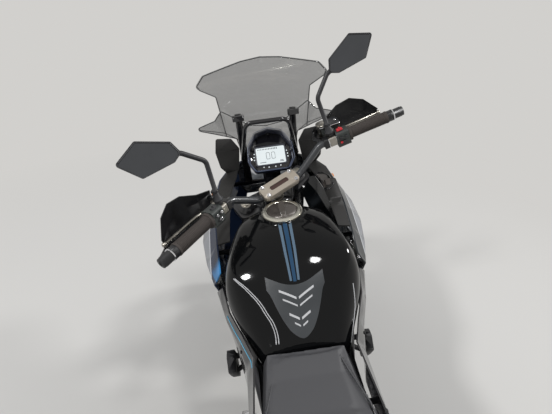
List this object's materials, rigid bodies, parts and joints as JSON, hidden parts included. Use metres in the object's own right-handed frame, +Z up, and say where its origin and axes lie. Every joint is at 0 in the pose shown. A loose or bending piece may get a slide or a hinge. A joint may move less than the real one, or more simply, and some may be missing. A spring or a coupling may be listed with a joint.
{
  "type": "adventure motorcycle",
  "caption": "Mid-size adventure motorcycle on its side stand, with turning wheels and steering and a folding stand.",
  "frame": {"origin": "middle of the footprint of the bounding box, on the floor under the machine as it is parked", "axes": "+X forwards along the chassis, +Y to the rider's left, towards which it leans, +Z up from the floor"},
  "size_m": [2.1216, 0.7632, 1.4736],
  "materials": {
    "frame_paint": "satin black",
    "dark_casting": "matt dark grey",
    "bronze_clamp": "satin bronze grey",
    "steel": "brushed",
    "exhaust_steel": "heat-tinted satin",
    "chrome": "polished",
    "aluminium": "satin",
    "stanchion": "polished",
    "fork_tube": "satin black",
    "tank_paint": "gloss black",
    "blue_panel": "gloss dark blue",
    "gloss_black": "gloss",
    "moulded_black": "fine grain",
    "seat_vinyl": "fine-grained vinyl",
    "smoked_screen": "smoked",
    "lamp_lens": "clear",
    "rear_lens": "red and orange lenses",
    "display": "lit panel",
    "grip_rubber": "ribbed",
    "peg_rubber": "ribbed",
    "tyre_rubber": "road tread",
    "mirror": "reflecting",
    "chain_steel": "oiled",
    "radiator_black": "matt"
  },
  "bodies": {
    "chassis": {"main_frame": "frame_paint", "rear_subframe": "frame_paint", "engine": "dark_casting", "engine_covers": "dark_casting", "radiator": "radiator_black", "exhaust": "exhaust_steel", "swingarm": "frame_paint", "rear_axle": "steel", "drive_chain": "chain_steel", "shock_absorber": "frame_paint", "rear_caliper": "dark_casting", "fuel_tank": "tank_paint", "tank_cap": "chrome", "rider_seat": "seat_vinyl", "pillion_seat": "seat_vinyl", "side_fairings": "blue_panel", "tail_panels": "gloss_black", "nose_cowl": "blue_panel", "headlamps": "lamp_lens", "windscreen": "smoked_screen", "front_stay": "frame_paint", "instrument_housing": "moulded_black", "instrument_display": "display", "inner_panels": "moulded_black", "crash_bobbins": "moulded_black", "footpegs": "peg_rubber", "pillion_pegs": "peg_rubber", "foot_controls": "steel", "luggage_rack": "frame_paint", "rear_lights": "rear_lens", "rear_mudguard": "moulded_black"},
    "steering": {"yokes": "frame_paint", "bar_clamp": "bronze_clamp", "fork_tubes": "fork_tube", "stanchions": "stanchion", "front_axle": "steel", "front_calipers": "dark_casting", "front_mudguard": "gloss_black", "handlebar": "steel", "grips": "grip_rubber", "switchgear": "moulded_black", "hand_levers": "aluminium", "mirrors": "moulded_black", "mirror_glass": "mirror", "hand_guards": "moulded_black"},
    "front_wheel": {"front_tyre": "tyre_rubber", "front_rim": "dark_casting", "front_discs": "steel"},
    "rear_wheel": {"rear_tyre": "tyre_rubber", "rear_rim": "dark_casting", "rear_sprocket": "steel", "rear_disc": "steel"},
    "side_stand": {"side_stand": "frame_paint"}
  },
  "joints": [
    {"name": "steering_turn", "type": "hinge", "parent": "chassis", "child": "steering", "pos_m": [0.49417, -0.03225, 0.85277], "axis": [-0.4176, 0.1511, 0.896], "range_deg": [-58, 0]},
    {"name": "front_wheel_spin", "type": "hinge", "parent": "steering", "child": "front_wheel", "pos_m": [0.78545, -0.11375, 0.28523], "axis": [-0.4413, 0.8282, -0.3454], "continuous": true},
    {"name": "rear_wheel_spin", "type": "hinge", "parent": "chassis", "child": "rear_wheel", "pos_m": [-0.62616, -0.12532, 0.30875], "axis": [-0.0009, 0.986, -0.1668], "continuous": true},
    {"name": "side_stand_fold", "type": "hinge", "parent": "chassis", "child": "side_stand", "pos_m": [0.04161, 0.01186, 0.2646], "axis": [0.1601, 0.7624, 0.627], "range_deg": [0, 92]}
  ]
}
